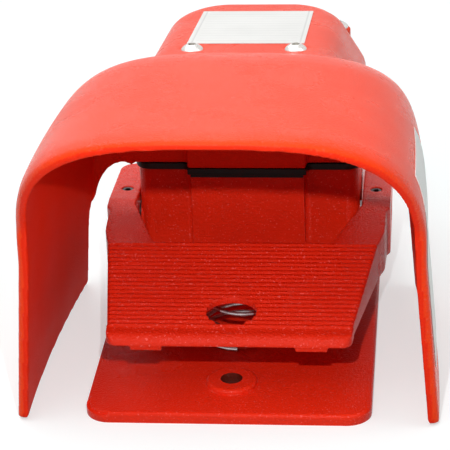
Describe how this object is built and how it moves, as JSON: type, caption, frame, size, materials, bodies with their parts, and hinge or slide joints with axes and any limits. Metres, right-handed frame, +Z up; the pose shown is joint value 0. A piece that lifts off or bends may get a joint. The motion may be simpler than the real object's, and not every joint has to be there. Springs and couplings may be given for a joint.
{
  "type": "guarded industrial foot switch",
  "caption": "Heavy cast foot switch with an arched full guard over a ribbed treadle, sealed housing behind, sloped cover and rear conduit entry.",
  "frame": {"origin": "axis of the front mounting hole, on the plane the base stands on", "axes": "+Z up; +Y from the treadle towards the rear of the housing; +X to the right of a person facing the treadle"},
  "size_m": [0.1674, 0.2715, 0.1347],
  "materials": {
    "cast_paint": "orange-red enamel on cast iron, fine grain",
    "treadle_paint": "orange-red enamel on cast iron, fine grain",
    "gasket_rubber": "black rubber, dull",
    "screw_steel": "plated steel",
    "label_film": "bare off-white label blank with faint empty rows",
    "shaft_steel": "ground steel",
    "bush_bronze": "sintered bronze",
    "black_screw": "black oxide steel",
    "cast_metal": "bare casting",
    "spring_steel": "spring wire",
    "bracket_steel": "zinc-plated sheet",
    "switch_plastic": "moulded phenolic",
    "terminal_brass": "brass",
    "ground_green": "green screw head"
  },
  "bodies": {
    "base": {"base_casting": "cast_paint", "cover_gasket": "gasket_rubber", "cover_and_guard": "cast_paint", "front_cover_screws": "screw_steel", "rear_cover_screws": "screw_steel", "cover_label": "label_film", "guard_side_label": "label_film", "shaft_bushes": "bush_bronze", "shaft_seals": "gasket_rubber", "return_spring": "spring_steel", "switch_bracket": "bracket_steel", "bracket_screws": "screw_steel", "switch_case": "switch_plastic", "switch_mounting_screws": "screw_steel", "switch_terminals": "terminal_brass", "terminal_screws": "screw_steel", "ground_screw": "ground_green"},
    "treadle": {"treadle": "treadle_paint", "pivot_shaft": "shaft_steel", "shaft_set_screws": "black_screw", "actuator_arm": "cast_metal", "actuator_clamp_screw": "black_screw", "striker_screw": "shaft_steel", "striker_nut": "shaft_steel"},
    "plunger": {"switch_plunger": "shaft_steel"}
  },
  "joints": [
    {"name": "treadle_pivot", "type": "hinge", "parent": "base", "child": "treadle", "pos_m": [0, 0.114, 0.028], "axis": [1, 0, 0], "range_deg": [0, 8.8], "stiffness_Nm_per_rad": 16, "springref_deg": -8.02, "deforming": ["return_spring"]},
    {"name": "plunger_slide", "type": "slide", "parent": "base", "child": "plunger", "axis": [0, 0, 1], "range_m": [0, 0.0042], "stiffness_N_per_m": 50, "springref_m": -0.001}
  ],
  "couplings": [
    {"joint": "plunger_slide", "follows": "treadle_pivot", "m_per_rad": 0.026}
  ]
}
